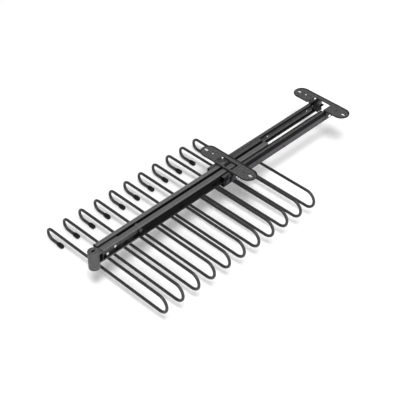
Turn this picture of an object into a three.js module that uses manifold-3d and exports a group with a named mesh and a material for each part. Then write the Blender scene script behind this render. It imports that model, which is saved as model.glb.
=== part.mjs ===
// Pull out trouser rack: two ball slides under two screw plates, a carriage with wire arms.
// Millimetres. Origin on the top face of the front plate, X across the rails, -Y towards
// the handle, Z up.
import * as THREE from 'three';
import Module from 'manifold-3d';

const wasm = await Module();
wasm.setup();

// clearances
const seatGap = 0.3;
const runGap = 0.3;
const holeGap = 0.3;

// plates
const plateLength = 149;
const plateWidth = 38.7;
const plateShiftY = 0.8;
const plateSheet = 2;
const plateSlotX = 62.5;
const plateSlotLength = 9.5;
const plateSlotRadius = 2.6;
const plateHoleX = 44;
const plateHoleRadius = 2;
const dimpleDepth = 0.8;
const windowRightX = 21;
const windowFrontY = -14;
const windowRearY = 8;
const bridgeHalfWidth = 2.5;
const plateRoom = 3.4;
const earSheet = 1.5;
const earFrontY = -12;
const earRearY = 7;
const earDrop = 8.6;

// ball slides
const seamX = 12.3;
const seamGap = 0.6;
const leftSeamStep = 3.9;
const leftMemberShift = 1.9;
const fixedRailDepth = 11.4;
const movingRailDepth = 7;
const sheet = 1.2;
const lipDrop = 2.2;
const fixedRailHeight = 26;
const railHeightStep = 0.8;
const movingRailHeight = fixedRailHeight + railHeightStep;
const railMidZ = -(plateSheet + plateRoom + fixedRailHeight / 2);
const fixedRailFrontY = -37;
const fixedRailLength = 371;
const flangeCutX = 21.3;
const flangeCutLength = 50;
const endStepLength = 12;
const endStepRise = 1.9;
const endStepZ = railMidZ + endStepRise;
const lowCutX = 16;
const lowCutLength = 22;
const memberHalfWidth = 4;
const memberHeightRoom = 8;
const memberHeight = fixedRailHeight - memberHeightRoom;
const memberWeb = 2.4;
const memberInset = 92;
const memberLength = 370;
const cageSheet = 0.5;
const cageInset = 1;
const outerCageInset = 35;
const outerCageLength = 76;
const outerCageBalls = 5;
const innerCageInset = 72;
const innerCageLength = 200;
const innerCageBalls = 7;
const ballOffset = 0.8;
const fixedHoleRadius = 2.2;
const fixedHoleDrop = 6.1;
const fixedHoleZ = railMidZ - fixedHoleDrop;
const fixedHoleInset = 186;
const fixedHoleRearInset = 53;
const rearPlateInset = 34;

// where the rear plate sits, from the fixed rails' rear ends
const platePitch = fixedRailFrontY + fixedRailLength - rearPlateInset;

// wire arms
const wireRadius = 3.1;
const armPitch = 42;
const armCount = 11;
const armInset = 14;
const armTail = 32;
const upperLegStartX = -14;
const loopCentreX = 148.4;
const loopRadius = 20.2;
const hookCentreX = -168;
const hookRadius = 13.2;
const hookEndX = -138;
const tipRadius = 4.8;
const tipLength = 15;
const tipWall = 1.4;
const tipChamfer = 1.2;
const tipTaper = 2.6;
const tipMouthWall = 0.7;
const upperLegZ = railMidZ - movingRailHeight / 2 - seatGap - wireRadius;

// the carriage's place along the rails
const movingRailFrontY = -354;
const movingRailLength = armInset + armPitch * (armCount - 1) + armTail;
const firstArmY = movingRailFrontY + armInset;
const memberFrontY = movingRailFrontY + memberInset;
const innerCageFrontY = memberFrontY + innerCageInset;
const outerCageFrontY = fixedRailFrontY + outerCageInset;

// spine
const spineWidth = 3.6;

// rivets
const rivetDrop = 3.1;
const rivetZ = railMidZ - rivetDrop;
const rivetRadius = 1.6;
const rivetHeadRadius = 3.3;
const rivetHeadHeight = 1.5;
const rivetTailRadius = 2.5;
const rivetTailHeight = 0.4;

// handle and its screws
const handleRadius = 11.5;
const handleReach = 15;
const handleY = movingRailFrontY - handleReach;
const handleRise = 15.4;
const handleDrop = 27.6;
const handleTopZ = railMidZ + handleRise;
const handleBottomZ = railMidZ - handleDrop;
const handleEdge = 1;
const handleSlotLength = 9;
const handleSlotWidth = 4.2;
const handleSlotDepth = 6;
const neckLeftX = -6;
const neckSideX = 6;
const neckSideY = 3;
const neckRightX = 11.6;
const neckRightReach = 10.4;
const neckRise = 11.4;
const neckDrop = 12.6;
const neckTopZ = railMidZ + neckRise;
const neckBottomZ = railMidZ - neckDrop;
const pocketX = 4;
const pocketWall = 1.4;
const pocketLength = 8;
const pocketBottomWall = 3.4;
const tongueReach = 48;
const tongueRise = 10.4;
const tongueDrop = 10.1;
const tongueTopZ = railMidZ + tongueRise;
const tongueBottomZ = railMidZ - tongueDrop;
const screwFrontInset = 14;
const screwFrontDrop = 6.6;
const screwRearInset = 34;
const screwRearDrop = 0.2;
const screwFrontY = movingRailFrontY + screwFrontInset;
const screwFrontZ = railMidZ - screwFrontDrop;
const screwRearY = movingRailFrontY + screwRearInset;
const screwRearZ = railMidZ - screwRearDrop;
const screwRadius = 1.5;
const screwHeadRadius = 3.2;
const screwHeadHeight = 1.4;
const screwTongueWall = 1.5;

// closing stops
const stopRearY = fixedRailFrontY + fixedRailLength - lowCutLength;
const stopLength = 15;
const stopPlugLength = 8.6;
const stopNoseDrop = 9.2;
const stopNoseHeight = 5.6;
const stopPlugRise = 2;
const stopFrontY = stopRearY - stopLength;
const stopPlugY = stopRearY - stopPlugLength;
const stopNoseLowZ = railMidZ - stopNoseDrop;
const stopNoseTopZ = stopNoseLowZ + stopNoseHeight;
const stopPlugTopZ = railMidZ + stopPlugRise;
const stopNoseX = 5.3;

// mesh fineness
const wireSides = 10;
const loopSteps = 12;
const hookSteps = 10;
const roundSides = 24;
const smallSides = 16;
const plateSides = 14;
const ballAcross = 8;
const ballDown = 5;

const dark = { color: 0x2b2b2d, roughness: 0.42, metalness: 0.35 };
const plateGrey = { color: 0x565658, roughness: 0.5, metalness: 0.4 };
const railGrey = { color: 0x6b6b6e, roughness: 0.45, metalness: 0.45 };
const zinc = { color: 0xb9bcc0, roughness: 0.3, metalness: 0.8 };
const rubber = { color: 0x1a1a1b, roughness: 0.85, metalness: 0 };
const plastic = { color: 0x67656a, roughness: 0.55, metalness: 0 };
const cagePlastic = { color: 0x3c3c3e, roughness: 0.6, metalness: 0 };

const group = new THREE.Group();

function add(name, geometry, look) {
  geometry.computeVertexNormals();
  const mesh = new THREE.Mesh(geometry, new THREE.MeshStandardMaterial(look));
  mesh.name = name;
  group.add(mesh);
}

// turns a geometry's faces outward by the sign of its volume
function faceOut(geometry) {
  const place = geometry.getAttribute('position');
  const index = geometry.getIndex();
  const a = new THREE.Vector3();
  const b = new THREE.Vector3();
  const c = new THREE.Vector3();
  let volume = 0;
  for (let i = 0; i < index.count; i += 3) {
    a.fromBufferAttribute(place, index.getX(i));
    b.fromBufferAttribute(place, index.getX(i + 1));
    c.fromBufferAttribute(place, index.getX(i + 2));
    volume += a.dot(b.cross(c));
  }
  if (volume < 0) {
    for (let i = 0; i < index.count; i += 3) {
      const keep = index.getX(i + 1);
      index.setX(i + 1, index.getX(i + 2));
      index.setX(i + 2, keep);
    }
  }
  return geometry;
}

function fromLists(points, faces) {
  const geometry = new THREE.BufferGeometry();
  geometry.setAttribute('position', new THREE.Float32BufferAttribute(points.flat(), 3));
  geometry.setIndex(faces.flat());
  return faceOut(geometry);
}

// welds a geometry by position so that it can be joined and cut
function toSolid(geometry) {
  const place = geometry.getAttribute('position');
  const index = geometry.getIndex();
  const seen = new Map();
  const points = [];
  const map = [];
  for (let i = 0; i < place.count; i += 1) {
    const p = [place.getX(i), place.getY(i), place.getZ(i)];
    const key = p.map((v) => Math.round(v * 10000)).join(' ');
    if (!seen.has(key)) {
      seen.set(key, points.length);
      points.push(p);
    }
    map.push(seen.get(key));
  }
  const faces = [];
  const count = index ? index.count : place.count;
  for (let i = 0; i < count; i += 3) {
    const f = [0, 1, 2].map((k) => map[index ? index.getX(i + k) : i + k]);
    if (f[0] !== f[1] && f[1] !== f[2] && f[2] !== f[0]) {
      faces.push(f);
    }
  }
  const clean = fromLists(points, faces);
  const mesh = new wasm.Mesh({
    numProp: 3,
    vertProperties: new Float32Array(clean.getAttribute('position').array),
    triVerts: new Uint32Array(clean.getIndex().array),
  });
  mesh.merge();
  return new wasm.Manifold(mesh);
}

function toGeometry(solid) {
  const mesh = solid.getMesh();
  const geometry = new THREE.BufferGeometry();
  const place = new Float32Array(mesh.numVert * 3);
  for (let i = 0; i < mesh.numVert; i += 1) {
    for (let k = 0; k < 3; k += 1) {
      place[i * 3 + k] = mesh.vertProperties[i * mesh.numProp + k];
    }
  }
  geometry.setAttribute('position', new THREE.BufferAttribute(place, 3));
  geometry.setIndex(Array.from(mesh.triVerts));
  return geometry;
}

function box(x0, x1, y0, y1, z0, z1) {
  const geometry = new THREE.BoxGeometry(Math.abs(x1 - x0), Math.abs(y1 - y0), Math.abs(z1 - z0));
  geometry.translate((x0 + x1) / 2, (y0 + y1) / 2, (z0 + z1) / 2);
  return toSolid(geometry);
}

// a rod along X from x0 to x1 at y, z
function rodX(x0, x1, y, z, radius, sides) {
  const geometry = new THREE.CylinderGeometry(radius, radius, Math.abs(x1 - x0), sides);
  geometry.rotateZ(Math.PI / 2);
  geometry.translate((x0 + x1) / 2, y, z);
  return toSolid(geometry);
}

// a rod along Z from z0 to z1 at x, y
function rodZ(z0, z1, x, y, radius, sides) {
  const geometry = new THREE.CylinderGeometry(radius, radius, Math.abs(z1 - z0), sides);
  geometry.rotateX(Math.PI / 2);
  geometry.translate(x, y, (z0 + z1) / 2);
  return toSolid(geometry);
}

// a profile of [x, z] points run along Y
function runAlongY(profile, frontY, length) {
  const shape = new THREE.Shape(profile.map((p) => new THREE.Vector2(p[0], p[1])));
  const geometry = new THREE.ExtrudeGeometry(shape, { depth: length, bevelEnabled: false });
  geometry.rotateX(Math.PI / 2);
  geometry.translate(0, frontY + length, 0);
  return toSolid(geometry);
}

// a stadium of length along X, or along Y when turned, as an upright prism
function stadium(length, width, x, y, z0, z1, turned) {
  const radius = width / 2;
  const half = length / 2 - radius;
  const shape = new THREE.Shape();
  shape.absarc(half, 0, radius, -Math.PI / 2, Math.PI / 2, false);
  shape.absarc(-half, 0, radius, Math.PI / 2, Math.PI * 3 / 2, false);
  const geometry = new THREE.ExtrudeGeometry(
    shape, { depth: z1 - z0, bevelEnabled: false, curveSegments: plateSides });
  if (turned) {
    geometry.rotateZ(Math.PI / 2);
  }
  geometry.translate(x, y, z0);
  return toSolid(geometry);
}

// a closed sweep of a round wire along a planar path in X and Z
function wireAt(y) {
  const lowerZ = upperLegZ - loopRadius * 2;
  const returnZ = lowerZ - hookRadius * 2;
  const path = [{ x: upperLegStartX, z: upperLegZ, tx: 1, tz: 0 }];
  for (let i = 0; i <= loopSteps; i += 1) {
    const t = Math.PI / 2 - Math.PI * i / loopSteps;
    path.push({
      x: loopCentreX + loopRadius * Math.cos(t),
      z: upperLegZ - loopRadius + loopRadius * Math.sin(t),
      tx: Math.sin(t),
      tz: -Math.cos(t),
    });
  }
  for (let i = 0; i <= hookSteps; i += 1) {
    const t = Math.PI / 2 + Math.PI * i / hookSteps;
    path.push({
      x: hookCentreX + hookRadius * Math.cos(t),
      z: lowerZ - hookRadius + hookRadius * Math.sin(t),
      tx: -Math.sin(t),
      tz: Math.cos(t),
    });
  }
  path.push({ x: hookEndX, z: returnZ, tx: 1, tz: 0 });
  const points = [];
  const faces = [];
  for (const p of path) {
    for (let k = 0; k < wireSides; k += 1) {
      const a = Math.PI * 2 * (k + 1 / 2) / wireSides;
      const n = wireRadius * Math.cos(a);
      points.push([p.x - p.tz * n, y + wireRadius * Math.sin(a), p.z + p.tx * n]);
    }
  }
  for (let i = 0; i + 1 < path.length; i += 1) {
    for (let k = 0; k < wireSides; k += 1) {
      const a = i * wireSides + k;
      const b = i * wireSides + (k + 1) % wireSides;
      faces.push([a, b, b + wireSides]);
      faces.push([a, b + wireSides, a + wireSides]);
    }
  }
  const last = (path.length - 1) * wireSides;
  for (let k = 1; k + 1 < wireSides; k += 1) {
    faces.push([0, k + 1, k]);
    faces.push([last, last + k, last + k + 1]);
  }
  return fromLists(points, faces);
}

// a blind rubber cap over the end of a wire
function tipAt(y) {
  const returnZ = upperLegZ - loopRadius * 2 - hookRadius * 2;
  const inner = wireRadius + seatGap;
  const endX = hookEndX + seatGap + tipWall;
  const profile = [
    [0, endX],
    [tipRadius - tipChamfer, endX],
    [tipRadius, endX - tipChamfer],
    [tipRadius, endX - tipLength + tipTaper],
    [inner + tipMouthWall, endX - tipLength],
    [inner, endX - tipLength],
    [inner, hookEndX + seatGap],
    [0, hookEndX + seatGap],
  ];
  const last = profile.length - 1;
  const points = [[profile[0][1], y, returnZ], [profile[last][1], y, returnZ]];
  const faces = [];
  const rings = profile.slice(1, last);
  for (const p of rings) {
    for (let k = 0; k < smallSides; k += 1) {
      const a = Math.PI * 2 * k / smallSides;
      points.push([p[1], y + p[0] * Math.cos(a), returnZ + p[0] * Math.sin(a)]);
    }
  }
  for (let k = 0; k < smallSides; k += 1) {
    const n = (k + 1) % smallSides;
    faces.push([0, 2 + k, 2 + n]);
    for (let r = 0; r + 1 < rings.length; r += 1) {
      const a = 2 + r * smallSides;
      faces.push([a + k, a + smallSides + k, a + smallSides + n]);
      faces.push([a + k, a + smallSides + n, a + n]);
    }
    const e = 2 + (rings.length - 1) * smallSides;
    faces.push([1, e + n, e + k]);
  }
  return fromLists(points, faces);
}

// a channel with its web at webX, open towards its mouths, which may differ at the top and
// at the bottom; a mouth has a lip turned in unless the balls run there
function channel(webX, top, low, height, frontY, length) {
  const s = Math.sign(top.mouthX - webX);
  const highZ = railMidZ + height / 2;
  const lowZ = railMidZ - height / 2;
  const lip = lipDrop + sheet;
  const lowEnd = low.lip
    ? [[low.mouthX, lowZ + lip], [low.mouthX - s * sheet, lowZ + lip],
      [low.mouthX - s * sheet, lowZ + sheet]]
    : [[low.mouthX, lowZ + sheet]];
  const topEnd = top.lip
    ? [[top.mouthX - s * sheet, highZ - sheet], [top.mouthX - s * sheet, highZ - lip],
      [top.mouthX, highZ - lip]]
    : [[top.mouthX, highZ - sheet]];
  return runAlongY([
    [webX, lowZ],
    [low.mouthX, lowZ],
    ...lowEnd,
    [webX + s * sheet, lowZ + sheet],
    [webX + s * sheet, highZ - sheet],
    ...topEnd,
    [top.mouthX, highZ],
    [webX, highZ],
  ], frontY, length);
}

// the middle of a slide's middle member and ball rows
function memberX(side) {
  return side * (seamX + (side < 0 ? leftMemberShift : 0));
}

// the middle member: an upright web with two flanges between the rows of balls
function member(side) {
  const w = memberWeb / 2;
  const h = memberHeight / 2;
  const o = memberHalfWidth;
  const topLine = [
    [w, h - sheet], [o, h - sheet], [o, h], [-o, h], [-o, h - sheet], [-w, h - sheet],
  ];
  const lowLine = topLine.map((p) => [-p[0], -p[1]]);
  const centre = memberX(side);
  const outline = topLine.concat(lowLine).map((p) => [centre + p[0], railMidZ + p[1]]);
  return runAlongY(outline, memberFrontY, memberLength);
}

// a ball cage on one side of the member, with its rows of balls
function cage(side, outward, railHeight, frontY, length, balls) {
  const centre = memberX(side);
  const away = side * outward;
  const stripNear = centre + away * (memberHalfWidth + runGap);
  const stripFar = stripNear + away * cageSheet;
  const inside = stripNear - away * (ballOffset + cageInset);
  const railInner = railHeight / 2 - sheet;
  const memberTop = memberHeight / 2;
  const mid = (railInner + memberTop) / 2;
  const ballRadius = (railInner - memberTop) / 2 - runGap;
  const t = cageSheet / 2;
  let body = box(stripNear, stripFar, frontY, frontY + length,
    railMidZ - mid - t, railMidZ + mid + t);
  for (const up of [1, -1]) {
    const z = railMidZ + up * mid;
    body = body.add(box(inside, stripFar, frontY, frontY + length, z - t, z + t));
    for (let i = 0; i < balls; i += 1) {
      const y = frontY + length * (i + 1 / 2) / balls;
      const ball = new THREE.SphereGeometry(ballRadius, ballAcross, ballDown);
      ball.translate(stripNear - away * ballOffset, y, z);
      body = body.add(toSolid(ball));
    }
  }
  return body;
}

// rails
const fixedMouthX = seamX + seamGap / 2;
const movingMouthX = seamX - seamGap / 2;
const fixedWebX = fixedMouthX + fixedRailDepth;
const movingWebX = movingMouthX - movingRailDepth;

// the left slide's upper seam lies further out than its lower one
const topStep = (side) => (side < 0 ? leftSeamStep : 0);

function fixedRail(side) {
  let rail = channel(side * fixedWebX,
    { mouthX: side * (fixedMouthX + topStep(side)), lip: side > 0 },
    { mouthX: side * fixedMouthX, lip: true },
    fixedRailHeight, fixedRailFrontY, fixedRailLength);
  const inner = side * (fixedWebX - sheet * 2);
  const outer = side * (fixedWebX + sheet);
  for (const y of [0, platePitch]) {
    rail = rail.subtract(rodX(inner, outer, y, rivetZ, rivetRadius + holeGap, smallSides));
  }
  const rearY = fixedRailFrontY + fixedRailLength;
  for (const y of [fixedRailFrontY + fixedHoleInset, rearY - fixedHoleRearInset]) {
    rail = rail.subtract(rodX(inner, outer, y, fixedHoleZ, fixedHoleRadius, smallSides));
  }
  const lip = lipDrop + sheet;
  const top = railMidZ + fixedRailHeight / 2;
  rail = rail.subtract(box(side * movingMouthX, side * flangeCutX, rearY - flangeCutLength,
    rearY + sheet, top - lip - sheet, top + sheet));
  rail = rail.subtract(box(side * movingMouthX, side * (fixedWebX + sheet),
    rearY - endStepLength, rearY + sheet, endStepZ, top + sheet));
  return rail.subtract(box(side * movingMouthX, side * lowCutX, rearY - lowCutLength + seatGap,
    rearY + sheet, top - fixedRailHeight - sheet, endStepZ));
}

function movingRail(side) {
  let rail = channel(side * movingWebX,
    { mouthX: side * (movingMouthX + topStep(side)), lip: true },
    { mouthX: side * movingMouthX, lip: side > 0 },
    movingRailHeight, movingRailFrontY, movingRailLength);
  if (side > 0) {
    const low = movingWebX - sheet;
    const high = movingWebX + sheet * 2;
    const radius = screwRadius + holeGap;
    rail = rail.subtract(rodX(low, high, screwFrontY, screwFrontZ, radius, smallSides));
    rail = rail.subtract(rodX(low, high, screwRearY, screwRearZ, radius, smallSides));
  }
  return rail;
}

add('fixed_rail_left', toGeometry(fixedRail(-1)), dark);
add('fixed_rail_right', toGeometry(fixedRail(1)), dark);
add('moving_rail_left', toGeometry(movingRail(-1)), railGrey);
add('moving_rail_right', toGeometry(movingRail(1)), railGrey);
add('middle_member_left', toGeometry(member(-1)), railGrey);
add('middle_member_right', toGeometry(member(1)), railGrey);
for (const [word, side] of [['left', -1], ['right', 1]]) {
  add('outer_cage_' + word, toGeometry(cage(side, 1, fixedRailHeight,
    outerCageFrontY, outerCageLength, outerCageBalls)), cagePlastic);
  add('inner_cage_' + word, toGeometry(cage(side, -1, movingRailHeight,
    innerCageFrontY, innerCageLength, innerCageBalls)), cagePlastic);
}

// spine between the moving rails, drilled for the handle's screws
const spineRightX = movingWebX - seatGap;
const spineLeftX = spineRightX - spineWidth;
const spineTop = railMidZ + movingRailHeight / 2;
const spineLow = railMidZ - movingRailHeight / 2;
let spine = box(spineLeftX, spineRightX, movingRailFrontY, movingRailFrontY + movingRailLength,
  spineLow, spineTop);
for (const [y, z] of [[screwFrontY, screwFrontZ], [screwRearY, screwRearZ]]) {
  spine = spine.subtract(rodX(spineLeftX - sheet, spineRightX + sheet, y, z,
    screwRadius + holeGap, smallSides));
}
add('carrier_spine', toGeometry(spine), railGrey);

// plates: the front one has a window with a bar across, the rear one is open to the front
function plate(centreY, rear) {
  let body = stadium(plateLength, plateWidth, 0, centreY + plateShiftY, -plateSheet, 0, false);
  const earInner = fixedWebX + seatGap;
  for (const side of [-1, 1]) {
    body = body.add(box(side * earInner, side * (earInner + earSheet), centreY + earFrontY,
      centreY + earRearY, railMidZ - earDrop, -plateSheet / 2));
  }
  const openings = rear
    ? [[-earInner, windowRightX]]
    : [[-earInner, -bridgeHalfWidth], [bridgeHalfWidth, windowRightX]];
  const openFront = centreY + (rear ? -plateWidth : windowFrontY);
  for (const [x0, x1] of openings) {
    body = body.subtract(box(x0, x1, openFront, centreY + windowRearY,
      -plateSheet * 2, plateSheet));
  }
  for (const side of [-1, 1]) {
    body = body.subtract(stadium(plateSlotLength, plateSlotRadius * 2, side * plateSlotX, centreY,
      -plateSheet * 2, plateSheet, false));
    const holeLow = side < 0 ? -plateSheet * 2 : -dimpleDepth;
    body = body.subtract(rodZ(holeLow, plateSheet, side * plateHoleX, centreY,
      plateHoleRadius, roundSides));
    body = body.subtract(rodX(side * (fixedWebX - sheet), side * (fixedWebX + earSheet * 2),
      centreY, rivetZ, rivetRadius + holeGap, smallSides));
  }
  return body;
}

add('front_plate', toGeometry(plate(0, false)), plateGrey);
add('rear_plate', toGeometry(plate(platePitch, true)), plateGrey);

// rivets through the plates' ears and the fixed rails
function rivet(side, y) {
  const earOuter = fixedWebX + seatGap + earSheet;
  const headBase = earOuter + seatGap;
  const tailBase = fixedWebX - sheet - seatGap;
  const shank = rodX(side * (tailBase - rivetTailHeight / 2), side * (headBase + seatGap),
    y, rivetZ, rivetRadius, smallSides);
  const head = rodX(side * headBase, side * (headBase + rivetHeadHeight / 2), y, rivetZ,
    rivetHeadRadius, roundSides);
  const crown = new THREE.CylinderGeometry(rivetHeadRadius / 2, rivetHeadRadius,
    rivetHeadHeight / 2, roundSides);
  crown.rotateZ(-side * Math.PI / 2);
  crown.translate(side * (headBase + rivetHeadHeight * 3 / 4), y, rivetZ);
  const tail = rodX(side * (tailBase - rivetTailHeight), side * tailBase, y, rivetZ,
    rivetTailRadius, smallSides);
  return shank.add(head).add(toSolid(crown)).add(tail);
}

for (const [word, side] of [['left', -1], ['right', 1]]) {
  add('front_rivet_' + word, toGeometry(rivet(side, 0)), zinc);
  add('rear_rivet_' + word, toGeometry(rivet(side, platePitch)), zinc);
}

// closing stops plugged into the rear ends of the fixed rails
for (const [word, side] of [['left', -1], ['right', 1]]) {
  const plugOuter = side * (fixedWebX - sheet - seatGap);
  const noseOuter = side * (fixedWebX - sheet - rivetTailHeight - seatGap * 2);
  const plugHalfHeight = fixedRailHeight / 2 - sheet - seatGap;
  const nose = box(noseOuter, side * stopNoseX, stopFrontY, stopRearY,
    stopNoseLowZ, stopNoseTopZ);
  const plug = box(plugOuter, side * (fixedMouthX + sheet + seatGap), stopPlugY, stopRearY,
    railMidZ - plugHalfHeight, stopPlugTopZ);
  add('rear_stop_' + word, toGeometry(nose.add(plug)), rubber);
}

// arms and their rubber tips
for (let i = 0; i < armCount; i += 1) {
  const word = String(i + 1).padStart(2, '0');
  const y = firstArmY + armPitch * i;
  add('arm_' + word, wireAt(y), dark);
  add('arm_tip_' + word, tipAt(y), rubber);
}

// handle with a neck and a tongue between the moving rails
const knob = new THREE.LatheGeometry([
  new THREE.Vector2(0, handleBottomZ),
  new THREE.Vector2(handleRadius - handleEdge, handleBottomZ),
  new THREE.Vector2(handleRadius, handleBottomZ + handleEdge),
  new THREE.Vector2(handleRadius, handleTopZ - handleEdge),
  new THREE.Vector2(handleRadius - handleEdge, handleTopZ),
  new THREE.Vector2(0, handleTopZ),
], roundSides);
knob.rotateX(Math.PI / 2);
knob.translate(0, handleY, 0);
let handle = toSolid(knob);
const tongueLeftX = -movingWebX + seatGap;
const tongueRightX = spineLeftX - seatGap;
const neckRearY = movingRailFrontY - seatGap;
const neckShape = new THREE.Shape([
  new THREE.Vector2(neckLeftX, handleY),
  new THREE.Vector2(neckSideX, handleY + neckSideY),
  new THREE.Vector2(neckRightX, neckRearY - neckRightReach),
  new THREE.Vector2(neckRightX, neckRearY),
  new THREE.Vector2(neckLeftX, neckRearY),
]);
const neck = new THREE.ExtrudeGeometry(
  neckShape, { depth: neckTopZ - neckBottomZ, bevelEnabled: false });
neck.translate(0, 0, neckBottomZ);
handle = handle.add(toSolid(neck));
handle = handle.subtract(box(pocketX, neckRightX * 2, neckRearY - pocketWall - pocketLength,
  neckRearY - pocketWall, neckBottomZ + pocketBottomWall, neckTopZ - pocketWall));
handle = handle.add(box(tongueLeftX, tongueRightX, movingRailFrontY - seatGap * 2,
  movingRailFrontY + tongueReach, tongueBottomZ, tongueTopZ));
handle = handle.subtract(stadium(handleSlotLength, handleSlotWidth, 0, handleY,
  handleTopZ - handleSlotDepth, handleTopZ + handleEdge, true));
for (const [y, z] of [[screwFrontY, screwFrontZ], [screwRearY, screwRearZ]]) {
  handle = handle.subtract(rodX(tongueLeftX + screwTongueWall, tongueRightX + sheet, y, z,
    screwRadius + holeGap, smallSides));
}
add('handle', toGeometry(handle), plastic);

function handleScrew(y, z) {
  const headBase = movingWebX + sheet + seatGap;
  const tipX = tongueLeftX + screwTongueWall + holeGap;
  const shank = rodX(tipX, headBase + seatGap, y, z, screwRadius, smallSides);
  const head = rodX(headBase, headBase + screwHeadHeight, y, z, screwHeadRadius, smallSides);
  return shank.add(head);
}

add('handle_screw_front', toGeometry(handleScrew(screwFrontY, screwFrontZ)), zinc);
add('handle_screw_rear', toGeometry(handleScrew(screwRearY, screwRearZ)), zinc);

export default group;
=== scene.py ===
"""Pull out trouser rack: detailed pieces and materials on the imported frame.

Lengths are in millimetres until they reach a mesh, and places are in the CAD frame:
X across the rails, -Y towards the handle, Z up, with the front plate's top face at 0.
"""

import math

import bmesh
import bpy
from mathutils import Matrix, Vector


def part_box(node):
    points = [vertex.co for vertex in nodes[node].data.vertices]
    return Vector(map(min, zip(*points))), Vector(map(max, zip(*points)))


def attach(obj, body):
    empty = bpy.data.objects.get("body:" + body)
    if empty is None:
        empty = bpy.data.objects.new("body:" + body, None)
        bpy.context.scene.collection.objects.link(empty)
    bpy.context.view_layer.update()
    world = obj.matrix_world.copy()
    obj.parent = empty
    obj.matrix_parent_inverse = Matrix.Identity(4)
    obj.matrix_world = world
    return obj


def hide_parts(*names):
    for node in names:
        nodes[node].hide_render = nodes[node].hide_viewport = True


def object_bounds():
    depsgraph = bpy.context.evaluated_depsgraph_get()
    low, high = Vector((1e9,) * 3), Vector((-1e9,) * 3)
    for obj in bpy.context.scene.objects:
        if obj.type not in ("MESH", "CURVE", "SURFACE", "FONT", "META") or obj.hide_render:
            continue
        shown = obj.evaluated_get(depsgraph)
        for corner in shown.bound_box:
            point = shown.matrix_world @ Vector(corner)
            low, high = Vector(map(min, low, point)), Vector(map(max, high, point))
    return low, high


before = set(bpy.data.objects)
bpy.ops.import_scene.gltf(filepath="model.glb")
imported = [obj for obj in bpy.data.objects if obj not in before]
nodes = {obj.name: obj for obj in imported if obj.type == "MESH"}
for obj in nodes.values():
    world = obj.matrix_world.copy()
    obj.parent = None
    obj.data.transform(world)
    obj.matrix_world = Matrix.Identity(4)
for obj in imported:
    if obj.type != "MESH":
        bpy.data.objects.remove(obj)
cad_low, cad_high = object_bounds()

MM = 0.001
X, Y, Z = Vector((1, 0, 0)), Vector((0, 1, 0)), Vector((0, 0, 1))
SIDES = (("left", -1), ("right", 1))
CARRIAGE = "carriage"
FRAME_BODY = "mounting_frame"

# camera, fitted to the arms, rails and plates of the photograph
VIEW_AZIMUTH = math.radians(44.63)
VIEW_ELEVATION = math.radians(40.60)
VIEW_DISTANCE = 2201.3
VIEW_TARGET = Vector((-19.56, -62.92, -75.0))
LENS = 94.73
SENSOR = 36.0

# studio
FLOOR_DROP = 0.4
FLOOR_SIZE = 12000.0
FLOOR_THICKNESS = 10.0
FLOOR_COLOUR = (0.93, 0.93, 0.93)
FLOOR_ROUGHNESS = 0.9
FLOOR_SPECULAR = 0.1
WORLD_COLOUR = (1.0, 1.0, 1.0, 1.0)
WORLD_STRENGTH = 0.46
LIGHT_TARGET = (0, 0, -50)
# name, place, size and power in watts
LIGHTS = (("key", (2270, -2275, 5750), 2000, 355.0),
          ("fill", (1900, 200, 900), 1200, 22.0))

# sheet metal of the slides
SHEET = 1.2
BEND = 1.5
BEND_STEPS = 6

# a face counts as facing a way from this much of its normal
FACING = 0.5

# the two plates' names and Y, and the pins with their holes
PLATE_PLACES = (("front", 0.0), ("rear", 300.0))
RIVET_Z = -21.5
RIVET_HOLE_RADIUS = 1.9
HANDLE_SCREWS = ((-340.0, -25.0), (-320.0, -18.6))
SCREW_HOLE_RADIUS = 1.8
PIN_ROUNDING = 0.25
PIN_SIDES = 28


def mm_box(node):
    """A CAD node's lowest and highest corners in millimetres."""
    a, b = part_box(node)
    return Vector(a) / MM, Vector(b) / MM


# materials

COARSE_DETAIL = 6.0
COARSE_ROUGHNESS = 0.65
FINE_RATIO = 7.0
FINE_DETAIL = 3.0
FINE_HEIGHT = 0.05
GLOSS_SPREAD = 0.07


def material(name):
    """An empty node material, its tree and its principled shader."""
    mat = bpy.data.materials.new(name)
    mat.use_nodes = True
    return mat, mat.node_tree, mat.node_tree.nodes["Principled BSDF"]


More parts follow.
